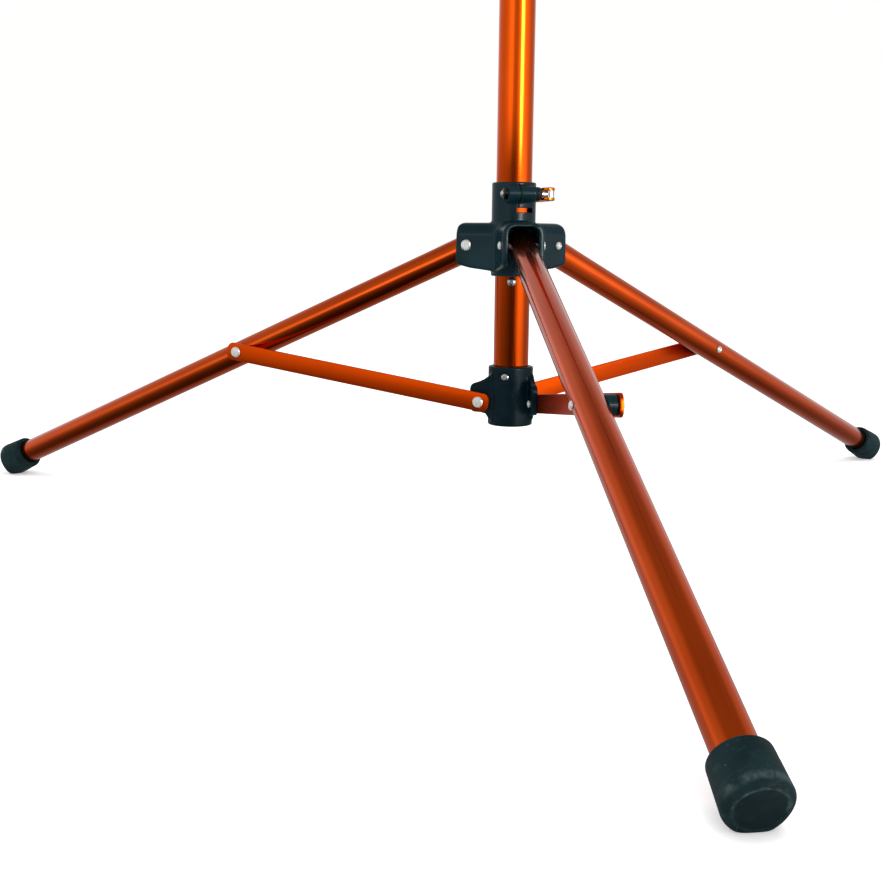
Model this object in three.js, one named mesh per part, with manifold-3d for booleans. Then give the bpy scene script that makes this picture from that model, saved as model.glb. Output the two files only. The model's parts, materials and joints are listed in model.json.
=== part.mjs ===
// Folding bicycle repair stand: tripod base with a sliding hub, three folding
// legs held open by flat straps, a telescoping mast and a rotating clamp arm.
// Millimetres, +Z up. The feet stand on z = 0; the front leg points along -Y.
import * as THREE from 'three';
import { mergeVertices } from 'three/addons/utils/BufferGeometryUtils.js';
import Module from 'manifold-3d';

const wasm = await Module();
wasm.setup();

// ---------------------------------------------------------------- dimensions
const GAP = 0.3;                 // play kept between neighbouring pieces
const COLUMN_Y = 171.5;          // column axis, so that the footprint is centred
const LEG_AZ = { front: -90, right: 30, left: 150 };

// masts
const MAST_R = 19.05, MAST_WALL = 1.6, MAST_Z0 = 116.6, MAST_Z1 = 900;
const UPPER_R = 15.9, UPPER_WALL = 1.5, UPPER_Z0 = 560, UPPER_Z1 = 1408;

// legs
const HUB_R = 45.5, HUB_Z = 307.5;      // leg pivot: distance from column axis, height
const LEG_TILT = 66.2;                  // from vertical, stand open
const LEG_R = 14.5, LEG_WALL = 1.5, LEG_TOP = -10, LEG_END = 714;
const STRAP_ON_LEG = 315.4;             // pivot of the strap along the leg
const FOOT_RIM = 686.7, FOOT_TIP = 721.7, FOOT_R0 = 19.9, FOOT_R1 = 21.1, FOOT_EDGE = 5;
const FOOT_HEEL = 3.0, FOOT_FLARE = 0.6, FOOT_HEEL_EDGE = 2.5;   // the end grows towards the sole

// straps
const COLLAR_R = 28.3, COLLAR_Z = 138.9;  // strap pivot at the collar
const STRAP_IN = 22.6, STRAP_OUT = 25.8, STRAP_W = 20.6, STRAP_END = 12, STRAP_CORNER = 7;
const PIN_R = 3.0, HOLE_R = 3.3;
const HEAD_R = 6.0, HEAD_T = 2.4, TAIL_R = 4.0, TAIL_T = 2.2;

// hub casting
const SLEEVE_R = 23.5, BORE_R = MAST_R + GAP, SLEEVE_Z0 = 274.9, SLEEVE_Z1 = 373.6;
const CHEEK = 22.2, CAVITY = 16, SOCKET_TOP = 332.3, SOCKET_ROOF = 5.3;

// base collar
const COL_R = 24.4, COL_Z0 = 113.1, COL_Z1 = 177.6, TAB_IN = 15.5, TAB_OUT = 22.3;

// quick-release clamps (axis along X, in front of the tube)
const QR_Y = -25.5, QR_R = 8.5, QR_X0 = -12.1, QR_X1 = 17.9, QR_SLIT = 0.9, QR_PIVOT = 33.4;
const HUB_QR_Z = 361, TOP_QR_Z = 914;
const TOP_Z0 = 874, TOP_Z1 = 930;

// head, arm and clamp
const ARM_Z = 1432, ARM_R = 12.7, ARM_WALL = 1.6, ARM_Y1 = 44, ARM_Y0 = -166;
const JAW_Y = -236;                    // screw axis, measured from the column

// ---------------------------------------------------------------- materials
const mat = (color, roughness, metalness) => new THREE.MeshStandardMaterial({ color, roughness, metalness });
const ORANGE = () => mat(0xc8480c, 0.28, 0.9);
const PLASTIC = () => mat(0x17262b, 0.45, 0.0);
const RUBBER = () => mat(0x20302f, 0.8, 0.0);
const STEEL = () => mat(0xc9cccc, 0.3, 1.0);
const GREY = () => mat(0x2b2f31, 0.6, 0.0);

// ---------------------------------------------------------------- helpers
const V = (x, y, z) => new THREE.Vector3(x, y, z);
const rad = THREE.MathUtils.degToRad;
const arc = (cx, cy, r, a0, a1, n) => Array.from({ length: n + 1 }, (_, i) => {
  const a = rad(a0 + (a1 - a0) * i / n);
  return [cx + r * Math.cos(a), cy + r * Math.sin(a)];
});

function bare(geometry) {
  const g = geometry.clone();
  for (const k of Object.keys(g.attributes)) if (k !== 'position') g.deleteAttribute(k);
  g.clearGroups();
  let m = mergeVertices(g, 1e-4);
  const p = m.attributes.position, idx = Array.from(m.index.array), keep = [];
  let vol = 0;
  const a = V(), b = V(), c = V();
  for (let i = 0; i < idx.length; i += 3) {
    const [i0, i1, i2] = [idx[i], idx[i + 1], idx[i + 2]];
    if (i0 === i1 || i1 === i2 || i0 === i2) continue;
    keep.push(i0, i1, i2);
    a.fromBufferAttribute(p, i0); b.fromBufferAttribute(p, i1); c.fromBufferAttribute(p, i2);
    vol += a.dot(b.clone().cross(c));
  }
  if (vol < 0) for (let i = 0; i < keep.length; i += 3) [keep[i + 1], keep[i + 2]] = [keep[i + 2], keep[i + 1]];
  m.setIndex(keep);
  return m;
}
function S(geometry) {            // geometry -> solid
  const m = bare(geometry);
  return new wasm.Manifold(new wasm.Mesh({
    numProp: 3,
    vertProperties: new Float32Array(m.attributes.position.array),
    triVerts: new Uint32Array(m.index.array),
  }));
}
function G(solid) {               // solid -> geometry
  const m = solid.getMesh();
  const g = new THREE.BufferGeometry();
  g.setAttribute('position', new THREE.BufferAttribute(new Float32Array(m.vertProperties), 3));
  g.setIndex(Array.from(m.triVerts));
  return g;
}
const cut = (a, ...b) => b.reduce((s, x) => s.subtract(x instanceof THREE.BufferGeometry ? S(x) : x), a instanceof THREE.BufferGeometry ? S(a) : a);
const join = (a, ...b) => b.reduce((s, x) => s.add(x instanceof THREE.BufferGeometry ? S(x) : x), a instanceof THREE.BufferGeometry ? S(a) : a);

function along(axis, g) {         // turns a geometry made about Y onto an axis
  if (axis === 'z') g.rotateX(Math.PI / 2);
  if (axis === 'x') g.rotateZ(-Math.PI / 2);
  return g;
}
function rod(axis, r, a, b, seg = 20, r2 = r) {    // r at a, r2 at b
  const g = new THREE.CylinderGeometry(r2, r, b - a, seg);
  g.translate(0, (a + b) / 2, 0);
  return along(axis, g);
}
function lathe(axis, pts, seg = 20) {
  return along(axis, new THREE.LatheGeometry(pts.map(([r, h]) => new THREE.Vector2(r, h)), seg));
}
const ring = (axis, ro, ri, a, b, seg = 20) => lathe(axis, [[ri, a], [ro, a], [ro, b], [ri, b], [ri, a]], seg);
function slab(pts, depth) {
  const shape = new THREE.Shape(pts.map(([x, y]) => new THREE.Vector2(x, y)));
  return new THREE.ExtrudeGeometry(shape, { depth, bevelEnabled: false });
}
function slabXY(pts, z0, z1) { return slab(pts, z1 - z0).translate(0, 0, z0); }
function slabXZ(pts, y0, y1) {    // outline in x,z; thickness along y
  return slab(pts, y1 - y0).applyMatrix4(new THREE.Matrix4().makeBasis(V(1, 0, 0), V(0, 0, 1), V(0, -1, 0))).translate(0, y1, 0);
}
function slabYZ(pts, x0, x1) {    // outline in y,z; thickness along x
  return slab(pts, x1 - x0).applyMatrix4(new THREE.Matrix4().makeBasis(V(0, 1, 0), V(0, 0, 1), V(1, 0, 0))).translate(x0, 0, 0);
}
const block = (x0, x1, y0, y1, z0, z1) => new THREE.BoxGeometry(x1 - x0, y1 - y0, z1 - z0).translate((x0 + x1) / 2, (y0 + y1) / 2, (z0 + z1) / 2);
const hexPts = (r, turn = 0) => Array.from({ length: 6 }, (_, i) => [r * Math.cos(rad(60 * i + turn)), r * Math.sin(rad(60 * i + turn))]);
const turnZ = (g, deg) => g.rotateZ(rad(deg));

const root = new THREE.Group();
const stand = new THREE.Group();
stand.position.set(0, COLUMN_Y, 0);
root.add(stand);
function put(parent, name, shape, material) {
  const g = shape instanceof THREE.BufferGeometry ? bare(shape) : G(shape);
  const mesh = new THREE.Mesh(g, material);
  mesh.name = name;
  parent.add(mesh);
  return mesh;
}

// ---------------------------------------------------------------- masts
{
  const tube = ring('z', MAST_R, MAST_R - MAST_WALL, MAST_Z0, MAST_Z1, 24);
  // hole in the tube wall for the stop screw
  const hole = turnZ(rod('x', 3.0, 14, 24, 12).translate(0, 0, 269.1), -103.4);
  put(stand, 'lower_mast_tube', cut(tube, hole), ORANGE());
}
put(stand, 'upper_mast_tube', ring('z', UPPER_R, UPPER_R - UPPER_WALL, UPPER_Z0, UPPER_Z1, 24), ORANGE());
put(stand, 'mast_guide_bush', lathe('z', [
  [13.4, UPPER_Z0 - 4], [17.1, UPPER_Z0 - 4], [17.1, UPPER_Z0 + 36], [UPPER_R + GAP, UPPER_Z0 + 36],
  [UPPER_R + GAP, UPPER_Z0 - GAP], [13.4, UPPER_Z0 - GAP], [13.4, UPPER_Z0 - 4]], 24), GREY());
put(stand, 'base_plug', lathe('z', [
  [0, COL_Z0 + 0.4], [18.9, COL_Z0 + 0.4], [18.9, MAST_Z0 - GAP], [17.1, MAST_Z0 - GAP],
  [17.1, MAST_Z0 + 12], [0, MAST_Z0 + 12]], 24), GREY());

// ---------------------------------------------------------------- screws
function buttonScrew(headR, headT, shankR, shankL, socketR) {   // axis x, seat at 0
  const s = lathe('x', [[0, -shankL], [shankR, -shankL], [shankR, 0], [headR, 0], [headR, headT * 0.35],
    [headR * 0.7, headT], [0, headT]], 12);
  return cut(s, slabYZ(hexPts(socketR, 30), headT - 1.4, headT + 2));
}
put(stand, 'hub_stop_screw', join(buttonScrew(4.9, 3.2, 2.7, 1.7, 2.2)), STEEL());
{
  const m = stand.children[stand.children.length - 1];
  m.geometry.translate(MAST_R + GAP, 0, 0);
  m.rotation.z = rad(-103.4);
  m.position.z = 269.1;
}

// ---------------------------------------------------------------- base collar
{
  let s = S(lathe('z', [[0, COL_Z0], [COL_R - 1.4, COL_Z0], [COL_R, COL_Z0 + 1.6], [COL_R, COL_Z1 - 1.6], [COL_R - 1.2, COL_Z1], [0, COL_Z1]], 24));
  const tab = [[14, 119], [18, 121.5], [21, 126], [27, 127.2], ...arc(33.3, 133.2, 6, -80, 0, 2), ...arc(32.3, 152.6, 7, 0, 80, 3), [29, 161], [23, 163.8], [18, 167.5], [14, 170]];
  for (const az of Object.values(LEG_AZ)) s = join(s, turnZ(slabXZ(tab, TAB_IN, TAB_OUT), az));
  s = cut(s, rod('z', BORE_R, COL_Z0 - 1, COL_Z1 + 1, 24));
  for (const az of Object.values(LEG_AZ)) s = cut(s, turnZ(rod('y', HOLE_R, 10, 30, 12).translate(COLLAR_R, 0, COLLAR_Z), az));
  const screwHole = lathe('x', [[0, 15], [2.6, 15], [2.6, 22.3], [4.5, 22.3], [4.5, 30], [0, 30]], 12).translate(0, 0, 166.8);
  s = cut(s, turnZ(screwHole, -117.2));
  put(stand, 'base_collar', s, PLASTIC());
  const screw = buttonScrew(3.9, 1.9, 2.3, 2.7, 1.9).translate([22.6, 0, 0]);
  const m = put(stand, 'base_collar_screw', screw, STEEL());
  m.rotation.z = rad(-117.2);
  m.position.z = 166.8;
}

// ---------------------------------------------------------------- clamp parts shared by both quick releases
const qrBarrel = (z) => S(lathe('x', [[0, QR_X0], [QR_R, QR_X0], [QR_R, QR_X1], [0, QR_X1]], 14).translate(0, QR_Y, z));
const qrWeb = (z) => S(block(QR_X0 + 1.5, QR_X1 - 1.5, QR_Y + 1, -14, z - 7.6, z + 7.6));
const qrHole = (z) => join(rod('x', HOLE_R, QR_X0 - 5, QR_X1 + 5, 12).translate(0, QR_Y, z),
  rod('x', 7.8, QR_X0 - 12, QR_X0, 14).translate(0, QR_Y, z));     // rod hole and nut seat
function quickRelease(prefix, z) {
  // clamp rod, acorn nut, washer, cup, cross pin and cam lever
  put(stand, prefix + '_clamp_rod', rod('x', PIN_R, QR_X0 - 4.2, QR_PIVOT + 1.0, 10).translate(0, QR_Y, z), STEEL());
  const nutX = QR_X0 - GAP;
  let nut = S(slabYZ(hexPts(7.0, 0), -4.4, -0.1));
  nut = join(nut, lathe('x', [[0, -7.0], [3.4, -6.3], [5.4, -4.2], [0, -4.2]], 12));
  nut = cut(nut, rod('x', HOLE_R, -4.6, 1, 12));
  put(stand, prefix + '_clamp_nut', G(nut).translate(nutX, QR_Y, z), STEEL());
  put(stand, prefix + '_clamp_cup', lathe('x', [[HOLE_R, QR_X1 + GAP], [7.2, QR_X1 + GAP], [7.2, QR_X1 + 3.2],
    [6.0, QR_X1 + 6.1], [HOLE_R, QR_X1 + 6.1], [HOLE_R, QR_X1 + GAP]], 14).translate(0, QR_Y, z), GREY());
  // cross pin: the lever turns about it, the rod is screwed into it
  const pin = cut(rod('z', 4.4, z - 7.0, z + 7.0, 14), rod('x', PIN_R + 0.25, -10, 1.3, 10).translate(0, 0, z));
  put(stand, prefix + '_lever_pin', G(pin).translate(QR_PIVOT, QR_Y, 0), STEEL());
  // lever: eccentric fork plates and a handle bent round the sleeve
  const cx = QR_PIVOT - 2.0, r = 7.1;
  const path = [[QR_PIVOT - 0.2, QR_Y + 4], [35.0, -10], [35.8, 4], [33.6, 18], [28.6, 31], [23.5, 39]];
  const half = [5.2, 2.9, 2.6, 2.8, 3.3, 2.2];
  const L = [], R = [];
  path.forEach(([x, y], i) => {
    const p = path[Math.max(i - 1, 0)], q = path[Math.min(i + 1, path.length - 1)];
    const dx = q[0] - p[0], dy = q[1] - p[1], l = Math.hypot(dx, dy);
    L.push([x - dy / l * half[i], y + dx / l * half[i]]);
    R.push([x + dy / l * half[i], y - dx / l * half[i]]);
  });
  let lever = S(slabXY([...R, ...L.reverse()], z - 6.7, z + 6.7));
  lever = join(lever, rod('z', r, z - 6.7, z + 6.7, 18).translate(cx, QR_Y, 0));
  lever = cut(lever, block(QR_PIVOT - 20, QR_PIVOT + 20, QR_Y - 20, QR_Y + 10.5, z - 3.6, z + 3.6));
  lever = cut(lever, rod('z', 4.7, z - 10, z + 10, 14).translate(QR_PIVOT, QR_Y, 0));
  put(stand, prefix + '_lever', lever, ORANGE());
}

// ---------------------------------------------------------------- hub
{
  const arch = [[-CHEEK, 262], [CHEEK, 262], ...arc(CHEEK - 15, SOCKET_TOP - 15, 15, 0, 90, 4), ...arc(-CHEEK + 15, SOCKET_TOP - 15, 15, 90, 180, 4)];
  const side = [[0, 278], [16, 280], [42, 283.2], ...arc(50.8, 291.2, 6.6, -75, -5, 2), [58.4, 300], [57.6, 318],
    ...arc(48.4, 322.5, 8.8, 5, 90, 3).map(([x, y]) => [x, Math.min(y + 1, SOCKET_TOP)]), [0, SOCKET_TOP]];
  const cave = [[-CAVITY, 240], [CAVITY, 240], ...arc(CAVITY - 8.5, SOCKET_TOP - SOCKET_ROOF - 8.5, 8.5, 0, 90, 3), ...arc(-CAVITY + 8.5, SOCKET_TOP - SOCKET_ROOF - 8.5, 8.5, 90, 180, 3)];
  const socket = cut(S(slabYZ(arch, 6, 70)).intersect(S(slabXZ(side, -CHEEK - 1, CHEEK + 1))), slabYZ(cave, 20, 90));
  const sockets = Object.values(LEG_AZ).map((az) => G(socket).rotateZ(rad(az)));
  const hubSleeve = S(lathe('z', [[0, SLEEVE_Z0], [SLEEVE_R - 1.2, SLEEVE_Z0], [SLEEVE_R, SLEEVE_Z0 + 1.5], [SLEEVE_R, SLEEVE_Z1 - 1.2], [SLEEVE_R - 1, SLEEVE_Z1], [0, SLEEVE_Z1]], 24));
  let s = join(sockets[0], sockets[1], sockets[2], hubSleeve, qrBarrel(HUB_QR_Z), qrWeb(HUB_QR_Z));
  s = cut(s, rod('z', BORE_R, 200, 400, 24));
  s = cut(s, qrHole(HUB_QR_Z), block(QR_SLIT - 0.9, QR_SLIT + 0.9, -45, -12, 345, 380), block(-1.2, 16.8, -34, -9, 342, 346.6));
  for (const az of Object.values(LEG_AZ)) s = cut(s, turnZ(rod('y', HOLE_R, -30, 30, 12).translate(HUB_R, 0, HUB_Z), az));
  put(stand, 'hub_body', s, PLASTIC());
  quickRelease('hub', HUB_QR_Z);
}

// ---------------------------------------------------------------- height clamp at the top of the lower mast
{
  let s = S(lathe('z', [[0, TOP_Z0], [SLEEVE_R - 1.2, TOP_Z0], [SLEEVE_R, TOP_Z0 + 1.5], [SLEEVE_R, TOP_Z1 - 4], [SLEEVE_R - 3, TOP_Z1], [0, TOP_Z1]], 24));
  s = join(s, qrBarrel(TOP_QR_Z), qrWeb(TOP_QR_Z));
  s = cut(s, rod('z', BORE_R, TOP_Z0 - 2, MAST_Z1 + GAP, 24), rod('z', UPPER_R + GAP, TOP_Z0, TOP_Z1 + 2, 24));
  s = cut(s, qrHole(TOP_QR_Z), block(QR_SLIT - 0.9, QR_SLIT + 0.9, -45, -10, 901.5, 940), block(-9, 16.8, -34, -9, 899.5, 903.5));
  put(stand, 'height_clamp_body', s, PLASTIC());
  quickRelease('height', TOP_QR_Z);
}

// ---------------------------------------------------------------- legs, straps and their pins
function headedPin(headY, headR, headT, shankEnd, tailR, tailT, r = PIN_R) {   // axis y: head above headY, tail below shankEnd
  return lathe('y', [[0, shankEnd - tailT], [tailR * 0.75, shankEnd - tailT], [tailR, shankEnd], [r, shankEnd], [r, headY],
    [headR, headY], [headR - 0.8, headY + headT], [0, headY + headT]], 12);
}
function footShape(seg) {         // axis x: round at the top, longer and squarer at the bottom
  const profile = (down) => {
    const e = FOOT_EDGE + (FOOT_HEEL_EDGE - FOOT_EDGE) * down;
    const tip = FOOT_TIP + FOOT_HEEL * down * down, r1 = FOOT_R1 + FOOT_FLARE * down;
    return [[0, FOOT_TIP], [r1 - e, tip], ...arc(tip - e, r1 - e, e, 30, 90, 2).map(([h, r]) => [r, h]),
      [FOOT_R0, FOOT_RIM + 1.2], [FOOT_R0 - 1.2, FOOT_RIM], [LEG_R + GAP, FOOT_RIM], [LEG_R + GAP, LEG_END + GAP], [0, LEG_END + GAP]];
  };
  const n = profile(0).length;
  const g = new THREE.LatheGeometry(profile(0).map(([r, h]) => new THREE.Vector2(r, h)), seg);
  const pos = g.attributes.position;
  for (let i = 0; i <= seg; i++) {
    const a = 2 * Math.PI * (i % seg) / seg, down = Math.max(0, -Math.cos(a));
    profile(down).forEach(([r, h], j) => pos.setXYZ(i * n + j, r * Math.sin(a), h, r * Math.cos(a)));
  }
  return along('x', g);
}
const tilt = 90 - LEG_TILT;
const strapDX = HUB_R + STRAP_ON_LEG * Math.sin(rad(LEG_TILT)) - COLLAR_R;
const strapDZ = HUB_Z - STRAP_ON_LEG * Math.cos(rad(LEG_TILT)) - COLLAR_Z;
const strapLen = Math.hypot(strapDX, strapDZ);
for (const [side, az] of Object.entries(LEG_AZ)) {
  const sector = new THREE.Group();
  sector.rotation.z = rad(az);
  stand.add(sector);
  const leg = new THREE.Group();
  leg.position.set(HUB_R, 0, HUB_Z);
  leg.rotation.y = rad(tilt);
  sector.add(leg);

  // hub pin: flat head on the strap side, smaller tail on the other
  const hubPin = put(sector, 'hub_pin_' + side, headedPin(CHEEK + GAP, 5.75, 2.0, -(CHEEK + GAP), 4.1, 2.4), STEEL());
  hubPin.position.set(HUB_R, 0, HUB_Z);

  // leg tube with cross holes for the two pins
  put(leg, 'leg_tube_' + side, cut(ring('x', LEG_R, LEG_R - LEG_WALL, LEG_TOP, LEG_END, 20),
    rod('y', HOLE_R, -20, 20, 10), rod('y', HOLE_R, -20, 20, 10).translate(STRAP_ON_LEG, 0, 0)), ORANGE());
  put(leg, 'leg_top_plug_' + side, lathe('x', [[0, LEG_TOP - 1.8], [13.8, LEG_TOP - 1.8], [14.2, LEG_TOP - GAP], [12.5, LEG_TOP - GAP],
    [12.5, LEG_TOP + 5], [0, LEG_TOP + 5]], 16), GREY());

  // spacer shaped to the tube, between leg and strap
  put(leg, 'strap_spacer_' + side, cut(rod('y', 9.2, 4, STRAP_IN - GAP, 24).translate(STRAP_ON_LEG, 0, 0),
    rod('x', LEG_R + GAP, STRAP_ON_LEG - 40, STRAP_ON_LEG + 40, 20), rod('y', HOLE_R, 0, 40, 12).translate(STRAP_ON_LEG, 0, 0)), PLASTIC());

  // strap pin through leg and spacer; its head belongs to the strap
  put(leg, 'strap_pin_' + side, lathe('y', [[0, -LEG_R - GAP - TAIL_T], [TAIL_R * 0.75, -LEG_R - GAP - TAIL_T], [TAIL_R, -LEG_R - GAP],
    [PIN_R, -LEG_R - GAP], [PIN_R, STRAP_IN - GAP - 0.1], [0, STRAP_IN - GAP - 0.1]], 12).translate(STRAP_ON_LEG, 0, 0), STEEL());

  // rubber foot with a flat sole lying on the ground
  const foot = footShape(24);
  foot.rotateY(rad(tilt)).translate(HUB_R, 0, HUB_Z);
  put(sector, 'foot_' + side, cut(foot, block(500, 900, -100, 100, -80, 0)), RUBBER());

  // strap from collar tab to leg
  const strap = new THREE.Group();
  strap.position.set(COLLAR_R, 0, COLLAR_Z);
  strap.rotation.y = -Math.atan2(strapDZ, strapDX);
  sector.add(strap);
  const h = STRAP_W / 2, c = STRAP_CORNER, x0 = -STRAP_END, x1 = strapLen + STRAP_END;
  const outline = [...arc(x0 + c, -h + c, c, 180, 270, 3), ...arc(x1 - c, -h + c, c, 270, 360, 3), ...arc(x1 - c, h - c, c, 0, 90, 3), ...arc(x0 + c, h - c, c, 90, 180, 3)];
  put(strap, 'strap_' + side, cut(slabXZ(outline, STRAP_IN, STRAP_OUT), rod('y', HOLE_R, 10, 40, 12), rod('y', HOLE_R, 10, 40, 12).translate(strapLen, 0, 0)), ORANGE());
  put(strap, 'strap_rivet_' + side, lathe('y', [[0, STRAP_IN + 0.1], [PIN_R, STRAP_IN + 0.1], [PIN_R, STRAP_OUT + GAP], [HEAD_R, STRAP_OUT + GAP],
    [HEAD_R - 0.8, STRAP_OUT + GAP + HEAD_T], [0, STRAP_OUT + GAP + HEAD_T]], 12).translate(strapLen, 0, 0), STEEL());

  // collar pin holding strap and tab
  const cp = put(sector, 'collar_pin_' + side, headedPin(STRAP_OUT + GAP, HEAD_R, HEAD_T, TAB_IN - GAP, 3.9, 1.8), STEEL());
  cp.position.set(COLLAR_R, 0, COLLAR_Z);
}

// ---------------------------------------------------------------- head on the upper mast
{
  let s = S(lathe('z', [[0, 1366], [20.4, 1366], [21.6, 1368], [21.6, 1432], [0, 1432]], 24));
  s = join(s, lathe('y', [[0, -46], [21.0, -46], [21.0, 36], [0, 36]], 20).translate(0, 0, ARM_Z));
  s = join(s, rod('x', 10.5, 10, 30, 24).translate(0, -26, ARM_Z));         // boss for the lock screw
  s = cut(s, rod('z', UPPER_R + GAP, 1360, UPPER_Z1 + GAP, 24));
  s = cut(s, rod('y', ARM_R + 0.25, -60, 60, 20).translate(0, 0, ARM_Z));
  s = cut(s, rod('x', 4.3, 0, 40, 12).translate(0, -26, ARM_Z));
  // cross screw that fixes the head to the mast sits in a counterbored hole
  s = cut(s, lathe('x', [[0, 14], [2.6, 14], [2.6, 19.3], [4.6, 19.3], [4.6, 30], [0, 30]], 12).translate(0, 0, 1382));
  put(stand, 'head_body', s, PLASTIC());
  const fix = buttonScrew(4.0, 1.9, 2.3, 3.1, 1.9);
  put(stand, 'head_fixing_screw', G(fix).translate(19.6, 0, 1382), STEEL());
}

// lobed grips
function lobes(n, r, depth, count = 30) {
  return Array.from({ length: count }, (_, i) => {
    const a = 2 * Math.PI * i / count;
    const q = r - depth * (0.5 - 0.5 * Math.cos(n * a));
    return [q * Math.cos(a), q * Math.sin(a)];
  });
}
// arm lock: one moulded knob on a steel screw that presses on the arm
{
  const knob = cut(join(slabYZ(lobes(5, 19, 3.6), 37, 51), rod('x', 9, 31, 38, 20)), rod('x', 4.3, 30, 45, 12));
  put(stand, 'arm_lock_knob', G(knob).translate(0, -26, ARM_Z), PLASTIC());
  put(stand, 'arm_lock_screw', rod('x', 3.9, ARM_R + GAP, 44.6, 12).translate(0, -26, ARM_Z), STEEL());
}

// ---------------------------------------------------------------- clamp arm
put(stand, 'clamp_arm_tube', ring('y', ARM_R, ARM_R - ARM_WALL, ARM_Y0, ARM_Y1, 20).translate(0, 0, ARM_Z), ORANGE());
put(stand, 'clamp_arm_cap', lathe('y', [[0, ARM_Y1 - 10], [ARM_R - ARM_WALL - GAP, ARM_Y1 - 10], [ARM_R - ARM_WALL - GAP, ARM_Y1 + GAP], [15.5, ARM_Y1 + GAP],
  [14.5, ARM_Y1 + 5], [0, ARM_Y1 + 5]], 18).translate(0, 0, ARM_Z), PLASTIC());
{
  // C-shaped clamp frame: socket for the arm, spine, fixed upper jaw, lower nose for the screw
  const Z = ARM_Z, y = JAW_Y;
  const frame = [[-152, Z - 19], [-152, Z + 19], [-168, Z + 24], [-182, Z + 50], [-196, Z + 56], [y - 30, Z + 56], [y - 36, Z + 50], [y - 36, Z + 38], [y + 34, Z + 38],
    [-190, Z + 30], [-186, Z + 18], [-186, Z - 34], [-192, Z - 46], [y + 16, Z - 50], [y - 12, Z - 50], [y - 16, Z - 54], [y - 16, Z - 64], [y - 12, Z - 68], [y + 40, Z - 68], [-176, Z - 60], [-168, Z - 26]];
  let s = S(slabYZ(frame, -15, 15));
  s = join(s, lathe('y', [[0, -176], [20, -176], [20, -130], [18.5, -128], [0, -128]], 20).translate(0, 0, Z));
  s = join(s, rod('z', 15, Z - 68, Z - 50, 24).translate(0, y, 0));
  s = cut(s, rod('y', ARM_R + GAP, ARM_Y0 - GAP, -100, 20).translate(0, 0, Z));
  s = cut(s, rod('z', 6.4, Z - 80, Z - 40, 20).translate(0, y, 0));
  put(stand, 'clamp_body', s, PLASTIC());
  // fixed pad: vee-grooved rubber
  const vee = (sign) => { const t = sign; return [[-19, Z + t * 37.6], [19, Z + t * 37.6], [19, Z + t * 26], [7, Z + t * 30], [-7, Z + t * 30], [-19, Z + t * 26]]; };
  put(stand, 'fixed_jaw_pad', slabXZ(vee(1), y - 33, y + 33), RUBBER());
  // moving jaw with its own pad
  const jaw = cut(join(block(-16, 16, y - 34, y + 34, Z - 36, Z - 24.5), rod('z', 12, Z - 42, Z - 35, 24).translate(0, y, 0)),
    rod('z', 6.2, Z - 50, Z - 30, 20).translate(0, y, 0));
  put(stand, 'moving_jaw', jaw, PLASTIC());
  const low = [[-19, Z - 24.2], [-19, Z - 14], [-7, Z - 18], [7, Z - 18], [19, Z - 14], [19, Z - 24.2]];
  put(stand, 'moving_jaw_pad', slabXZ(low, y - 33, y + 33), RUBBER());
  // clamp screw and knob
  put(stand, 'jaw_screw', rod('z', 5.9, Z - 132, Z - 30.3, 16).translate(0, y, 0), STEEL());
  const knob = cut(join(slabXY(lobes(6, 27, 4.2, 36), Z - 136, Z - 116), rod('z', 12, Z - 117, Z - 106, 20)), rod('z', 6.2, Z - 132.3, Z - 90, 16));
  put(stand, 'jaw_knob', G(knob).translate(0, y, 0), PLASTIC());
}

export default root;
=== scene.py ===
import json
import math
import bpy
import bmesh
import numpy as np
from mathutils import Matrix, Vector


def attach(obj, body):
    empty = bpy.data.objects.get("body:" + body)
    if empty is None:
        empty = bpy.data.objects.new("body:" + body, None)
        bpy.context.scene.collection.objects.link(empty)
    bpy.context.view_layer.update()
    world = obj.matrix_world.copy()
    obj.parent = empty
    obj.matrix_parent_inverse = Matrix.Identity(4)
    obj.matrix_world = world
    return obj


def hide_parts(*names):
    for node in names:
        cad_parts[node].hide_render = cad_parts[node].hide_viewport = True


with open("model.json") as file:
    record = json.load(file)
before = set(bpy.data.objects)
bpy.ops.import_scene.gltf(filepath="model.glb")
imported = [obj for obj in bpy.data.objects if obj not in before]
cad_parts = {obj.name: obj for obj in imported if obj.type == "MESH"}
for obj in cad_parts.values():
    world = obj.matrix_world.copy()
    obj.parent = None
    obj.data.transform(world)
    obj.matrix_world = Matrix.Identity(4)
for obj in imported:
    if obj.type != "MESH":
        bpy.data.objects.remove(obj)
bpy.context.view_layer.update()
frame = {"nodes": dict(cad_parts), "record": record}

nodes = frame["nodes"]
MM = 0.001
CY = 171.5                      # column axis, mm, in the row frame
LEG_AZ = {"front": -90.0, "right": 30.0, "left": 150.0}
HUB_R, HUB_Z, TILT = 45.5, 307.5, math.radians(66.2)
LEG_R, STRAP_ON_LEG = 14.5, 315.4
COLLAR_R, COLLAR_Z = 28.3, 138.9


# ------------------------------------------------------------------ placing
def rot_z(deg):
    return Matrix.Rotation(math.radians(deg), 4, "Z")


COLUMN = Matrix.Translation((0, CY, 0))


def sector(az):
    return COLUMN @ rot_z(az)


def leg_frame(az):              # local x runs down the leg, y to the strap side, z outwards and up
    return sector(az) @ Matrix.Translation((HUB_R, 0, HUB_Z)) @ Matrix.Rotation(math.radians(90) - TILT, 4, "Y")


DX = HUB_R + STRAP_ON_LEG * math.sin(TILT) - COLLAR_R
DZ = HUB_Z - STRAP_ON_LEG * math.cos(TILT) - COLLAR_Z
STRAP_LEN = math.hypot(DX, DZ)


def strap_frame(az):
    return sector(az) @ Matrix.Translation((COLLAR_R, 0, COLLAR_Z)) @ Matrix.Rotation(-math.atan2(DZ, DX), 4, "Y")


def metres(m):
    """A placing in millimetres, as the matrix of an object whose mesh is in metres."""
    m = m.copy()
    m.translation = m.translation * MM
    return m


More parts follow.
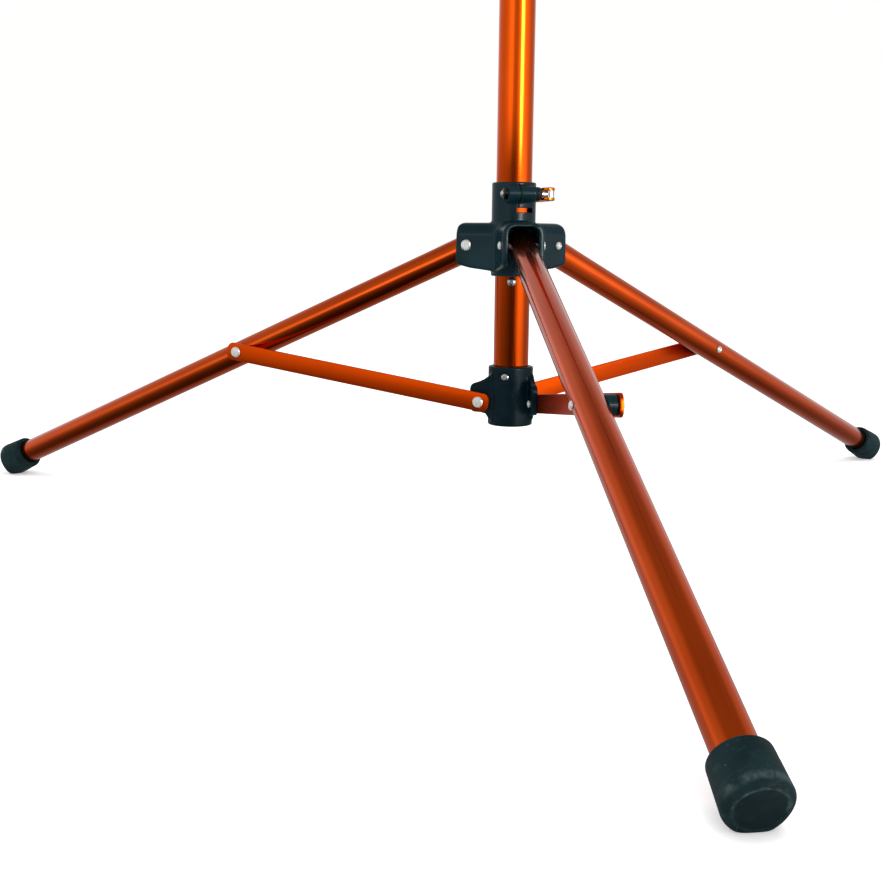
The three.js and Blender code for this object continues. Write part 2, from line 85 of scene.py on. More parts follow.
# ------------------------------------------------------------------ meshes
def mesh_object(name, verts, faces, place=None, sharp=35.0, merge=True):
    me = bpy.data.meshes.new(name)
    me.from_pydata([tuple(float(c) * MM for c in v) for v in verts], [], [tuple(int(i) for i in f) for f in faces])
    if merge:
        bm = bmesh.new()
        bm.from_mesh(me)
        bmesh.ops.remove_doubles(bm, verts=bm.verts, dist=1e-7)
        bmesh.ops.dissolve_degenerate(bm, edges=bm.edges, dist=1e-8)
        bmesh.ops.recalc_face_normals(bm, faces=bm.faces)
        bm.to_mesh(me)
        bm.free()
    me.shade_smooth()
    if sharp:
        me.set_sharp_from_angle(angle=math.radians(sharp))
    ob = bpy.data.objects.new(name, me)
    bpy.context.scene.collection.objects.link(ob)
    if place is not None:
        ob.matrix_world = metres(place)
    return ob


def again(ob, name, place):
    """The same mesh once more, at another place."""
    new = bpy.data.objects.new(name, ob.data.copy())
    bpy.context.scene.collection.objects.link(new)
    new.matrix_world = metres(place)
    return new


def fillet(pts, n=5):
    """Closed outline of (x, y) or (x, y, radius): corners with a radius are rounded."""
    out = []
    m = len(pts)
    for i, p in enumerate(pts):
        r = p[2] if len(p) > 2 else 0.0
        if r <= 0:
            out.append((p[0], p[1]))
            continue
        a = np.array(pts[i - 1][:2], float) - np.array(p[:2], float)
        b = np.array(pts[(i + 1) % m][:2], float) - np.array(p[:2], float)
        la, lb = np.linalg.norm(a), np.linalg.norm(b)
        a, b = a / la, b / lb
        cosw = float(np.clip(a @ b, -1, 1))
        half = math.acos(cosw) / 2
        d = min(r / math.tan(half), la * 0.499, lb * 0.499)
        rr = d * math.tan(half)
        mid = a + b
        mid = mid / np.linalg.norm(mid)
        c = np.array(p[:2]) + mid * rr / math.sin(half)
        p0, p1 = np.array(p[:2]) + a * d, np.array(p[:2]) + b * d
        a0 = math.atan2(*(p0 - c)[::-1])
        a1 = math.atan2(*(p1 - c)[::-1])
        turn = (a1 - a0 + math.pi) % (2 * math.pi) - math.pi
        for k in range(n + 1):
            t = a0 + turn * k / n
            out.append((c[0] + rr * math.cos(t), c[1] + rr * math.sin(t)))
    return out


def revolve(profile, seg=64, axis="z"):
    """Closed outline of (radius, height) turned about an axis."""
    prof = np.array(profile, float)
    n = len(prof)
    a = np.linspace(0, 2 * np.pi, seg, endpoint=False)
    r, h = prof[:, 0][None, :], prof[:, 1][None, :]
    c, s = np.cos(a)[:, None], np.sin(a)[:, None]
    hh = np.broadcast_to(h, (seg, n))
    if axis == "z":
        v = np.stack([r * c, r * s, hh], -1)
    elif axis == "x":
        v = np.stack([hh, r * c, r * s], -1)
    else:
        v = np.stack([r * s, hh, r * c], -1)
    faces = []
    for i in range(seg):
        j = (i + 1) % seg
        for k in range(n):
            l = (k + 1) % n
            if prof[k, 0] < 1e-9 and prof[l, 0] < 1e-9:
                continue
            faces.append((i * n + k, j * n + k, j * n + l, i * n + l))
    return v.reshape(-1, 3), faces


def tube_profile(ro, ri, a, b, e=0.35):
    return fillet([(ri, a, e), (ro, a, e), (ro, b, e), (ri, b, e)], 3)


def rounded_rect(x0, x1, h, c, inset, n=10):
    x0, x1, h, c = x0 + inset, x1 - inset, h - inset, max(c - inset, 0.05)
    out = []
    for cx, cy, a0 in ((x0 + c, -h + c, 180), (x1 - c, -h + c, 270), (x1 - c, h - c, 0), (x0 + c, h - c, 90)):
        for k in range(n + 1):
            t = math.radians(a0 + 90 * k / n)
            out.append((cx + c * math.cos(t), cy + c * math.sin(t)))
    return out


def strap_mesh(x0, x1, h, c, y0, y1, e=0.5):
    """Flat bar in x, z with its edges rounded; thickness along y."""
    rings = []
    for k in range(4):
        t = math.radians(90 * k / 3)
        rings.append((y0 + e - e * math.cos(t), e - e * math.sin(t)))
    for k in range(4):
        t = math.radians(90 - 90 * k / 3)
        rings.append((y1 - e + e * math.cos(t), e - e * math.sin(t)))
    verts, faces = [], []
    n = None
    for y, inset in rings:
        o = rounded_rect(x0, x1, h, c, inset)
        n = len(o)
        verts += [(x, y, z) for x, z in o]
    for k in range(len(rings) - 1):
        for i in range(n):
            j = (i + 1) % n
            faces.append((k * n + i, k * n + j, (k + 1) * n + j, (k + 1) * n + i))
    faces.append(tuple(range(n))[::-1])
    faces.append(tuple((len(rings) - 1) * n + i for i in range(n)))
    return verts, faces


# ------------------------------------------------------------------ moulded shapes from distance functions (mm)
def smin(a, b, k):
    h = np.clip(0.5 + 0.5 * (b - a) / k, 0, 1)
    return b + (a - b) * h - k * h * (1 - h)


def smax(a, b, k):
    return -smin(-a, -b, k)


def length2(a, b):
    return np.sqrt(a * a + b * b)


def box2(u, v, cu, cv, hu, hv, r):
    qu, qv = np.abs(u - cu) - (hu - r), np.abs(v - cv) - (hv - r)
    return length2(np.maximum(qu, 0), np.maximum(qv, 0)) + np.minimum(np.maximum(qu, qv), 0) - r


def box3(x, y, z, lo, hi, r=0.0):
    q = [np.abs(w - (a + b) / 2) - ((b - a) / 2 - r) for w, a, b in zip((x, y, z), lo, hi)]
    return (np.sqrt(sum(np.maximum(w, 0) ** 2 for w in q)) + np.minimum(np.maximum(np.maximum(q[0], q[1]), q[2]), 0)) - r


def cyl(u, v, t, r, t0, t1, e=0.0):
    """Cylinder about the t axis through u = v = 0."""
    qr, qt = length2(u, v) - r + e, np.abs(t - (t0 + t1) / 2) - (t1 - t0) / 2 + e
    return length2(np.maximum(qr, 0), np.maximum(qt, 0)) + np.minimum(np.maximum(qr, qt), 0) - e


def poly2(u, v, pts):
    """Signed distance to a closed outline."""
    d = None
    inside = np.zeros(u.shape, bool)
    m = len(pts)
    for i in range(m):
        ax, ay = pts[i]
        bx, by = pts[(i + 1) % m]
        ex, ey = bx - ax, by - ay
        wx, wy = u - ax, v - ay
        t = np.clip((wx * ex + wy * ey) / (ex * ex + ey * ey), 0, 1)
        dx, dy = wx - ex * t, wy - ey * t
        dd = dx * dx + dy * dy
        d = dd if d is None else np.minimum(d, dd)
        crosses = (ay > v) != (by > v)
        with np.errstate(divide="ignore", invalid="ignore"):
            xi = ax + (v - ay) * ex / (ey if ey else 1e-12)
        inside ^= crosses & (u < xi)
    d = np.sqrt(d)
    return np.where(inside, -d, d)


def extrude(d2, t, t0, t1, e=0.0):
    qa, qt = d2 + e, np.abs(t - (t0 + t1) / 2) - (t1 - t0) / 2 + e
    return length2(np.maximum(qa, 0), np.maximum(qt, 0)) + np.minimum(np.maximum(qa, qt), 0) - e


def surface(fn, lo, hi, h, relax=3):
    """Surface nets over a distance function, with each vertex then moved onto the surface."""
    ax = [np.arange(a, b + h, h) for a, b in zip(lo, hi)]
    X, Y, Z = np.meshgrid(*ax, indexing="ij")
    F = np.empty(X.shape, np.float32)
    for i0 in range(0, X.shape[0], 24):
        sl = slice(i0, i0 + 24)
        F[sl] = fn(X[sl], Y[sl], Z[sl])
    s = F < 0
    nx, ny, nz = (k - 1 for k in F.shape)
    corner = [(i, j, k) for i in (0, 1) for j in (0, 1) for k in (0, 1)]
    cnt = sum(s[i:nx + i, j:ny + j, k:nz + k].astype(np.int8) for i, j, k in corner)
    cell = np.argwhere((cnt > 0) & (cnt < 8))
    index = -np.ones((nx, ny, nz), np.int64)
    index[tuple(cell.T)] = np.arange(len(cell))
    pos, num = np.zeros((len(cell), 3)), np.zeros(len(cell))
    for a in corner:
        for ax_i in range(3):
            if a[ax_i]:
                continue
            b = list(a)
            b[ax_i] = 1
            fa = F[cell[:, 0] + a[0], cell[:, 1] + a[1], cell[:, 2] + a[2]].astype(float)
            fb = F[cell[:, 0] + b[0], cell[:, 1] + b[1], cell[:, 2] + b[2]].astype(float)
            m = (fa < 0) != (fb < 0)
            t = np.where(m, fa / np.where(m, fa - fb, 1), 0)
            p = np.array(a, float)[None, :] * np.ones((len(cell), 1))
            p[:, ax_i] += t
            pos[m] += p[m]
            num[m] += 1
    v = (cell + pos / num[:, None]) * h + np.array(lo)
    faces = []
    for d in range(3):
        e1, e2 = (d + 1) % 3, (d + 2) % 3
        lo_s = [slice(None)] * 3
        hi_s = [slice(None)] * 3
        lo_s[d], hi_s[d] = slice(0, -1), slice(1, None)
        a, b = s[tuple(lo_s)], s[tuple(hi_s)]
        e = np.argwhere(a != b)
        e = e[(e[:, e1] > 0) & (e[:, e2] > 0) & (e[:, e1] < F.shape[e1] - 1) & (e[:, e2] < F.shape[e2] - 1)]
        up = a[tuple(e.T)]
        q = []
        for o1, o2 in ((0, 0), (-1, 0), (-1, -1), (0, -1)):
            c = e.copy()
            c[:, e1] += o1
            c[:, e2] += o2
            q.append(index[tuple(c.T)])
        q = np.stack(q, 1)
        q[~up] = q[~up][:, ::-1]
        faces.append(q)
    faces = np.concatenate(faces)
    # relax along the surface, then project
    eps = 0.02
    for step in range(relax + 2):
        if step < relax:
            acc, n = np.zeros_like(v), np.zeros(len(v))
            for k in range(4):
                for o in (1, 3):
                    np.add.at(acc, faces[:, k], v[faces[:, (k + o) % 4]])
                    np.add.at(n, faces[:, k], 1)
            v = v * 0.5 + 0.5 * acc / np.maximum(n, 1)[:, None]
        f0 = fn(v[:, 0], v[:, 1], v[:, 2])
        g = np.stack([(fn(*(v + eps * np.eye(3)[k]).T) - fn(*(v - eps * np.eye(3)[k]).T)) / (2 * eps) for k in range(3)], 1)
        gg = np.maximum((g * g).sum(1), 0.15)
        v = v - g * np.clip(f0 / gg, -0.6 * h, 0.6 * h)[:, None]
    return v, faces


def moulded(name, fn, lo, hi, h, place=COLUMN, sharp=42.0, relax=3):
    v, f = surface(fn, [a - 2 * h for a in lo], [b + 2 * h for b in hi], h, relax)
    me = bpy.data.meshes.new(name)
    me.vertices.add(len(v))
    me.vertices.foreach_set("co", (v * MM).astype(np.float32).ravel())
    me.loops.add(f.size)
    me.loops.foreach_set("vertex_index", f.ravel().astype(np.int32))
    me.polygons.add(len(f))
    me.polygons.foreach_set("loop_start", np.arange(0, f.size, 4, dtype=np.int32))
    me.update(calc_edges=True)
    me.validate()
    me.shade_smooth()
    if sharp:
        me.set_sharp_from_angle(angle=math.radians(sharp))
    ob = bpy.data.objects.new(name, me)
    bpy.context.scene.collection.objects.link(ob)
    ob.matrix_world = metres(place)
    return ob


# ------------------------------------------------------------------ materials
class Nodes:
    def __init__(self, name):
        self.mat = bpy.data.materials.new(name)
        self.mat.use_nodes = True
        self.t = self.mat.node_tree
        self.bsdf = self.t.nodes["Principled BSDF"]
        self.coord = self.add("ShaderNodeTexCoord").outputs["Object"]

    def add(self, kind, **props):
        n = self.t.nodes.new(kind)
        for k, v in props.items():
            setattr(n, k, v)
        return n

    def link(self, a, b):
        self.t.links.new(a, b)

    def noise(self, scale, detail=4.0, rough=0.5, stretch=(1, 1, 1), offset=(0, 0, 0), distortion=0.0):
        m = self.add("ShaderNodeMapping")
        m.inputs["Scale"].default_value = stretch
        m.inputs["Location"].default_value = offset
        self.link(self.coord, m.inputs["Vector"])
        n = self.add("ShaderNodeTexNoise")
        n.inputs["Scale"].default_value = scale
        n.inputs["Detail"].default_value = detail
        n.inputs["Roughness"].default_value = rough
        n.inputs["Distortion"].default_value = distortion
        self.link(m.outputs["Vector"], n.inputs["Vector"])
        return n.outputs["Fac"]

    def ramp(self, fac, stops):
        r = self.add("ShaderNodeValToRGB")
        el = r.color_ramp.elements
        while len(el) < len(stops):
            el.new(0.5)
        for e, (p, c) in zip(el, stops):
            e.position = p
            e.color = (*c, 1) if len(c) == 3 else c
        self.link(fac, r.inputs["Fac"])
        return r.outputs["Color"]

    def span(self, fac, a, b, lo, hi, smooth=True):
        m = self.add("ShaderNodeMapRange")
        if smooth:
            m.interpolation_type = "SMOOTHSTEP"
        for k, v in (("From Min", a), ("From Max", b), ("To Min", lo), ("To Max", hi)):
            m.inputs[k].default_value = v
        self.link(fac, m.inputs["Value"])
        return m.outputs["Result"]

    def mix(self, fac, a, b):
        m = self.add("ShaderNodeMix", data_type="RGBA")
        if hasattr(fac, "links"):
            self.link(fac, m.inputs["Factor"])
        else:
            m.inputs["Factor"].default_value = fac
        for sock, v in ((m.inputs[6], a), (m.inputs[7], b)):
            if hasattr(v, "links"):
                self.link(v, sock)
            else:
                sock.default_value = (*v, 1)
        return m.outputs[2]

    def math(self, op, a, b=None, c=None):
        m = self.add("ShaderNodeMath", operation=op)
        for sock, v in zip(m.inputs, (a, b, c)):
            if v is None:
                continue
            if hasattr(v, "links"):
                self.link(v, sock)
            else:
                sock.default_value = v
        return m.outputs[0]

    def bump(self, layers):
        """layers of (height, strength, distance), chained."""
        last = None
        for height, strength, dist in layers:
            b = self.add("ShaderNodeBump")
            b.inputs["Strength"].default_value = strength
            b.inputs["Distance"].default_value = dist
            self.link(height, b.inputs["Height"])
            if last is not None:
                self.link(last, b.inputs["Normal"])
            last = b.outputs["Normal"]
        self.link(last, self.bsdf.inputs["Normal"])

    def edge_wear(self, lo=0.52, hi=0.62):
        g = self.add("ShaderNodeNewGeometry")
        return self.span(g.outputs["Pointiness"], lo, hi, 0, 1)

    def set(self, **vals):
        for k, v in vals.items():
            self.bsdf.inputs[k.replace("_", " ")].default_value = v


def anodised(name, along, rough=0.075, tone=(0.90, 0.100, 0.0014), dark=(0.80, 0.082, 0.0009), coat=1.0, ior=1.16):
    n = Nodes(name)
    k = {"x": 0, "y": 1, "z": 2}[along]
    st = [1.0, 1.0, 1.0]
    st[k] = 0.018
    streak = n.noise(900, 3, 0.6, stretch=tuple(st))
    broad = n.noise(9, 3, 0.5)
    fine = n.noise(2600, 2, 0.6)
    st2 = [1.0, 1.0, 1.0]
    st2[k] = 0.05
    scratch = n.span(n.noise(420, 6, 0.75, stretch=tuple(st2), offset=(3, 7, 1)), 0.70, 0.76, 0, 1)
    col = n.mix(n.span(broad, 0.35, 0.68, 0, 1), tone, dark)
    col = n.mix(n.math("MULTIPLY", n.span(streak, 0.45, 0.75, 0, 1), 0.22), col, (1.0, 0.17, 0.01))
    col = n.mix(n.math("MULTIPLY", scratch, 0.25), col, (1.0, 0.42, 0.16))
    n.link(col, n.bsdf.inputs["Base Color"])
    n.set(Metallic=1.0, Coat_Weight=coat, Coat_Roughness=0.07, Coat_IOR=ior)
    r = n.math("ADD", n.math("MULTIPLY", n.span(streak, 0.3, 0.75, 0, 1), 0.05), rough)
    n.link(n.math("ADD", r, n.math("MULTIPLY", scratch, 0.12)), n.bsdf.inputs["Roughness"])
    n.bump([(streak, 0.10, 0.00003), (fine, 0.06, 0.00002)])
    return n.mat


def plastic(name, base=(0.0013, 0.0142, 0.0196), rough=0.25, gloss=0.23):
    n = Nodes(name)
    broad = n.noise(26, 5, 0.55)
    grain = n.noise(2300, 2, 0.6)
    mid = n.noise(150, 4, 0.6)
    scuff = n.span(n.noise(60, 8, 0.8, stretch=(1, 1, 2.2), offset=(1, 2, 3), distortion=0.8), 0.60, 0.70, 0, 1)
    col = n.mix(n.span(broad, 0.38, 0.66, 0, 1), base, tuple(c * 1.55 + 0.0008 for c in base))
    col = n.mix(n.math("MULTIPLY", n.edge_wear(0.53, 0.60), 0.35), col, (0.030, 0.055, 0.060))
    col = n.mix(n.math("MULTIPLY", scuff, 0.10), col, (0.045, 0.070, 0.078))
    n.link(col, n.bsdf.inputs["Base Color"])
    n.set(Metallic=0.0, IOR=1.5, Specular_IOR_Level=gloss)
    r = n.math("ADD", n.math("MULTIPLY", n.span(broad, 0.3, 0.7, 0, 1), 0.12), rough - 0.05)
    n.link(n.math("ADD", r, n.math("MULTIPLY", scuff, 0.14)), n.bsdf.inputs["Roughness"])
    n.bump([(grain, 0.16, 0.00006), (mid, 0.10, 0.00025)])
    return n.mat


def rubber(name, rim=False):
    n = Nodes(name)
    broad = n.noise(32, 5, 0.6)
    grain = n.noise(1700, 3, 0.65)
    speck = n.span(n.noise(420, 3, 0.55, offset=(5, 1, 2)), 0.71, 0.745, 0, 1)
    smear = n.span(n.noise(38, 9, 0.72, stretch=(3.2, 1, 1), offset=(2, 4, 9), distortion=1.4), 0.54, 0.70, 0, 1)
    scr = n.span(n.noise(95, 9, 0.8, stretch=(3.4, 0.7, 0.7), offset=(8, 3, 4), distortion=2.2), 0.60, 0.66, 0, 1)
    col = n.mix(n.span(broad, 0.35, 0.68, 0, 1), (0.0018, 0.0118, 0.0145), (0.0068, 0.0235, 0.0270))
    col = n.mix(n.math("MULTIPLY", smear, 0.34), col, (0.040, 0.066, 0.070))
    col = n.mix(n.math("MULTIPLY", scr, 0.40), col, (0.110, 0.135, 0.125))
    col = n.mix(n.math("MULTIPLY", speck, 0.55), col, (0.16, 0.18, 0.17))
    col = n.mix(n.math("MULTIPLY", n.edge_wear(0.53, 0.62), 0.30), col, (0.075, 0.095, 0.092))
    if rim:                      # dust on the ridge round the end of the foot, leg frame; the end face inside the ridge gets painted shade
        sx = n.add("ShaderNodeSeparateXYZ")
        n.link(n.coord, sx.inputs[0])
        far = n.math("SQRT", n.math("ADD", n.math("MULTIPLY", sx.outputs[1], sx.outputs[1]), n.math("MULTIPLY", sx.outputs[2], sx.outputs[2])))
        ring = n.math("MULTIPLY", n.span(far, 0.0142, 0.0156, 0, 1), n.span(far, 0.0156, 0.0182, 1, 0))
        ring = n.math("MULTIPLY", ring, n.span(sx.outputs[0], 0.7185, 0.7205, 0, 1))
        ring = n.math("MULTIPLY", ring, n.span(n.noise(170, 6, 0.7, offset=(6, 2, 3)), 0.42, 0.66, 0.08, 0.75))
        upper = n.span(sx.outputs[2], -0.006, 0.004, 0.12, 1.0)
        ring = n.math("MULTIPLY", ring, upper)
        col = n.mix(ring, col, (0.085, 0.110, 0.110))
        belt = n.math("MULTIPLY", n.span(sx.outputs[0], 0.7110, 0.7150, 0, 1), n.span(sx.outputs[0], 0.7165, 0.7200, 1, 0))
        belt = n.math("MULTIPLY", n.math("MULTIPLY", belt, n.span(sx.outputs[2], 0.002, 0.013, 0, 1)), n.span(n.noise(95, 7, 0.72, offset=(1, 8, 2), distortion=1.0), 0.40, 0.62, 0.0, 0.62))
        col = n.mix(belt, col, (0.060, 0.085, 0.090))
        # painted shade: the end face inside the ridge is made darker, as the end of the foot is turned away from the
        # light
        col = n.mix(n.math("MULTIPLY", n.span(far, 0.0150, 0.0144, 0, 1), n.math("MULTIPLY", n.span(sx.outputs[0], 0.7175, 0.7195, 0, 1), 0.50)), col, (0.0010, 0.0085, 0.0115))
    n.link(col, n.bsdf.inputs["Base Color"])
    n.set(Metallic=0.0, Specular_IOR_Level=0.10, Sheen_Weight=0.02, Sheen_Roughness=0.5)
    n.link(n.math("ADD", n.math("MULTIPLY", smear, 0.16), 0.60), n.bsdf.inputs["Roughness"])
    n.bump([(grain, 0.22, 0.00008), (broad, 0.15, 0.0006), (scr, 0.12, 0.00006)])
    return n.mat


def zinc(name, base=(0.90, 0.91, 0.89), rough=0.30, metal=0.62):
    n = Nodes(name)
    cloud = n.noise(260, 5, 0.6)
    fine = n.noise(2400, 3, 0.6)
    pit = n.span(n.noise(900, 2, 0.5, offset=(4, 4, 4)), 0.68, 0.74, 0, 1)
    col = n.mix(n.span(cloud, 0.35, 0.65, 0, 1), base, tuple(c * 0.80 for c in base))
    col = n.mix(n.math("MULTIPLY", pit, 0.5), col, (0.28, 0.28, 0.28))
    n.link(col, n.bsdf.inputs["Base Color"])
    n.set(Metallic=metal, Specular_IOR_Level=0.8)
    n.link(n.math("ADD", n.math("MULTIPLY", cloud, 0.18), rough - 0.06), n.bsdf.inputs["Roughness"])
    n.bump([(fine, 0.18, 0.00004), (cloud, 0.14, 0.00015)])
    return n.mat


ORANGE = {"z": anodised("orange_column", "z", coat=0.6), "y": anodised("orange_arm", "y", coat=0.6), "x": anodised("orange_legs", "x", rough=0.15, ior=1.22)}
STRAP = anodised("orange_strap", "x", rough=0.33, tone=(0.92, 0.084, 0.0010), dark=(0.86, 0.074, 0.0008), coat=0.0)
LEVER = anodised("orange_lever", "y", rough=0.22, tone=(0.96, 0.24, 0.010), dark=(0.92, 0.20, 0.008), coat=0.5)
PLASTIC = plastic("black_plastic_mat")
# painted shade: the collar gets a darker copy of the hub plastic, standing in for the lower light it sits in
SHADED_PLASTIC = plastic("collar_plastic_painted_shade_mat", base=(0.0002, 0.0068, 0.0105), rough=0.27, gloss=0.13)
GRIP = plastic("grip_plastic_mat", base=(0.0030, 0.0125, 0.0160), rough=0.48)
RUBBER = rubber("foot_rubber_mat", rim=True)
PAD = rubber("pad_rubber_mat")
ZINC = zinc("zinc_steel_mat")
SCREW = zinc("bright_screw_mat", base=(0.86, 0.87, 0.88), rough=0.15, metal=1.0)


def nut_finish():
    n = Nodes("nut_mat")
    sx = n.add("ShaderNodeSeparateXYZ")
    n.link(n.coord, sx.inputs[0])
    tip = n.span(sx.outputs[0], -0.0050, -0.0044, 1, 0)
    cloud = n.noise(420, 4, 0.6)
    fine = n.noise(2400, 3, 0.6)
    dark = n.mix(n.span(cloud, 0.35, 0.65, 0, 1), (0.045, 0.055, 0.060), (0.085, 0.095, 0.100))
    n.link(n.mix(tip, dark, (0.84, 0.85, 0.85)), n.bsdf.inputs["Base Color"])
    n.set(Metallic=1.0)
    n.link(n.math("ADD", n.math("MULTIPLY", cloud, 0.15), 0.16), n.bsdf.inputs["Roughness"])
    n.bump([(fine, 0.15, 0.00004)])
    return n.mat


NUT = nut_finish()
INNER = plastic("inner_plastic_mat", base=(0.006, 0.008, 0.009), rough=0.5)

SLOT_OF = {r["node"]: r["material_slot"] for r in frame["record"]["subparts"]}
BODY_OF = {n: b for b, ns in frame["record"]["behaviour"]["bodies"].items() for n in ns}


def finish_piece(ob, node, mat):
    ob.data.materials.clear()
    ob.data.materials.append(mat)
    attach(ob, BODY_OF[node])
    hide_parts(node)
    return ob


def rev_piece(node, profile, mat, place=COLUMN, seg=96, axis="z", sharp=35.0):
    v, f = revolve(profile, seg, axis)
    return finish_piece(mesh_object(node + "_fine", v, f, place, sharp), node, mat)


def sdf_piece(node, fn, lo, hi, h, mat, place=COLUMN, sharp=42.0, relax=3):
    return finish_piece(moulded(node + "_fine", fn, lo, hi, h, place, sharp, relax), node, mat)


# ------------------------------------------------------------------ masts
rev_piece("lower_mast_tube", tube_profile(19.05, 17.45, 116.6, 900), ORANGE["z"])
rev_piece("upper_mast_tube", tube_profile(15.9, 14.4, 560, 1408), ORANGE["z"])
rev_piece("mast_guide_bush", fillet([(13.4, 556, 0.8), (17.1, 556, 0.8), (17.1, 596, 0.8), (16.2, 596, 0.2), (16.2, 559.7), (13.4, 559.7)], 3), INNER, seg=64)
rev_piece("base_plug", fillet([(0, 114.3), (17.2, 114.3, 0.3), (17.5, 113.5, 0.2), (18.9, 113.5, 0.4), (18.9, 116.3, 0.3), (17.1, 116.3), (17.1, 128.6, 0.8), (0, 128.6)], 3), INNER, seg=64)


# ------------------------------------------------------------------ screws with a hex socket
def socket_screw(head_r, head_t, shank_r, shank_l, sock_r, dome, deep=1.5):
    """Axis x, seat at 0: domed head with a hexagon socket."""
    hexa = [(sock_r * math.cos(math.radians(60 * i + 30)), sock_r * math.sin(math.radians(60 * i + 30))) for i in range(6)]

    def fn(x, y, z):
        rad = length2(y, z)
        ball = np.sqrt((x - (head_t - dome)) ** 2 + rad ** 2) - dome
        head = smax(smax(rad - head_r, -x, 0.3), smax(ball, x - head_t, 0.4), 0.35)
        shank = smax(rad - shank_r, np.maximum(-x - shank_l, x - 0.5), 0.2)
        d = smin(head, shank, 0.2)
        return smax(d, -extrude(poly2(y, z, hexa), x, head_t - deep, head_t + 3), 0.25)
    return fn


stop = socket_screw(4.9, 3.2, 2.7, 1.7, 2.25, 5.6, 3.1)
sdf_piece("hub_stop_screw", stop, (-1.7, -5, -5), (3.3, 5, 5), 0.16, SCREW,
          COLUMN @ rot_z(-103.4) @ Matrix.Translation((19.35, 0, 269.1)), sharp=50)
small = socket_screw(4.3, 2.0, 2.3, 2.7, 1.95, 7.0, 2.4)
sdf_piece("base_collar_screw", small, (-2.8, -4.4, -4.4), (2.1, 4.4, 4.4), 0.15, SCREW,
          COLUMN @ rot_z(-117.2) @ Matrix.Translation((22.6, 0, 166.8)), sharp=50)
small2 = socket_screw(4.0, 1.9, 2.3, 3.1, 1.75, 6.0)
sdf_piece("head_fixing_screw", small2, (-3.2, -4, -4), (2.0, 4, 4), 0.16, SCREW,
          COLUMN @ Matrix.Translation((19.6, 0, 1382)), sharp=50)


# ------------------------------------------------------------------ base collar
def arc_pts(cx, cy, r, a0, a1, n):
    return [(cx + r * math.cos(math.radians(a0 + (a1 - a0) * i / n)), cy + r * math.sin(math.radians(a0 + (a1 - a0) * i / n))) for i in range(n + 1)]


TAB = [(14, 119), (18, 121.5), (21, 126), (27, 127.2)] + arc_pts(33.3, 133.2, 6, -80, 0, 4) + arc_pts(32.3, 152.6, 7, 0, 80, 4) + [(29, 161), (23, 163.8), (18, 167.5), (14, 170)]


def in_sector(x, y, az):
    c, s = math.cos(math.radians(az)), math.sin(math.radians(az))
    return x * c + y * s, -x * s + y * c


def collar(x, y, z):
    rad = length2(x, y)
    d = cyl(x, y, z, 24.4, 113.1, 177.6, 1.7)
    for az in LEG_AZ.values():
        u, v = in_sector(x, y, az)
        near = (np.abs(v - 18.9) < 9) & (u > 8)
        tab = np.full(x.shape, 9.0)
        if near.any():
            tab[near] = extrude(poly2(u[near], z[near], TAB), v[near], 15.5, 22.3, 1.0)
        d = smin(d, tab, 3.2)
    d = smax(d, 19.35 - rad, 0.5)
    for az in LEG_AZ.values():
        u, v = in_sector(x, y, az)
        d = np.maximum(d, -cyl(u - COLLAR_R, z - COLLAR_Z, v, 3.3, 10, 30))
    u, v = in_sector(x, y, -117.2)
    d = smax(d, -cyl(v, z - 166.8, u, 4.9, 22.3, 34), 0.6)
    return np.maximum(d, -cyl(v, z - 166.8, u, 2.6, 12, 34))


# the collar uses the darker plastic, which is painted shade
sdf_piece("base_collar", collar, (-49, -47, 112), (48, 49, 179), 0.8, SHADED_PLASTIC)

# ------------------------------------------------------------------ hub
QY = -25.5
HUB_LINE = [(0.0, 278.0), (42.0, 283.2), (58.7, 287.2), (57.5, 332.3), (0.0, 332.3)]


def inset_line(pts, r):
    out = []
    m = len(pts)
    for i in range(m):
        p0, p1, p2 = (np.array(pts[j % m], float) for j in (i - 1, i, i + 1))
        d1, d2 = (p1 - p0) / np.linalg.norm(p1 - p0), (p2 - p1) / np.linalg.norm(p2 - p1)
        n1, n2 = np.array([-d1[1], d1[0]]), np.array([-d2[1], d2[0]])
        out.append(tuple(p1 + (n1 + n2) * r / (1 + n1 @ n2)))
    return out


HUB_IN = inset_line(HUB_LINE, 6.5)


def hub(x, y, z):
    rad = length2(x, y)
    d = cyl(x, y, z, 23.5, 274.9, 373.6, 1.6)
    for az in LEG_AZ.values():
        u, v = in_sector(x, y, az)
        near = (u > 5) & (z < 340)
        s = np.full(x.shape, 9.0)
        if near.any():
            uu, vv, zz = u[near], v[near], z[near]
            arch = box2(vv, zz, 0, 286.15, 22.2, 46.15, 15)
            side = poly2(uu, zz, HUB_IN) - 6.5
            outer = smax(smax(arch, side, 3.2), -uu + 6, 0.5)
            cave = np.maximum(box2(vv, zz, 0, 280.0, 16, 47.0, 8.5), 21 - uu)
            s[near] = smax(outer, -cave, 1.5)
        d = smin(d, s, 3.4)
    barrel = cyl(y - QY, z - 361, x, 8.5, -12.1, 17.9, 1.1)
    web = box3(x, y, z, (-10.6, QY + 1, 353.4), (16.4, -12, 368.6), 1.0)
    d = smin(d, smin(barrel, web, 1.2), 2.2)
    d = smax(d, 19.35 - rad, 0.5)
    d = np.maximum(d, -cyl(y - QY, z - 361, x, 3.3, -20, 30))
    d = smax(d, -cyl(y - QY, z - 361, x, 7.8, -30, -12.1), 0.3)
    d = smax(d, -box3(x, y, z, (0.45, -46, 344), (1.35, -10, 380)), 0.3)
    d = smax(d, -box3(x, y, z, (-1.2, -36, 342), (16.8, -8, 346.6), 0.6), 0.3)
    for az in LEG_AZ.values():
        u, v = in_sector(x, y, az)
        d = np.maximum(d, -cyl(u - HUB_R, z - HUB_Z, v, 3.3, -30, 30))
    return d


sdf_piece("hub_body", hub, (-63, -60, 273), (63, 49, 375), 0.9, PLASTIC)


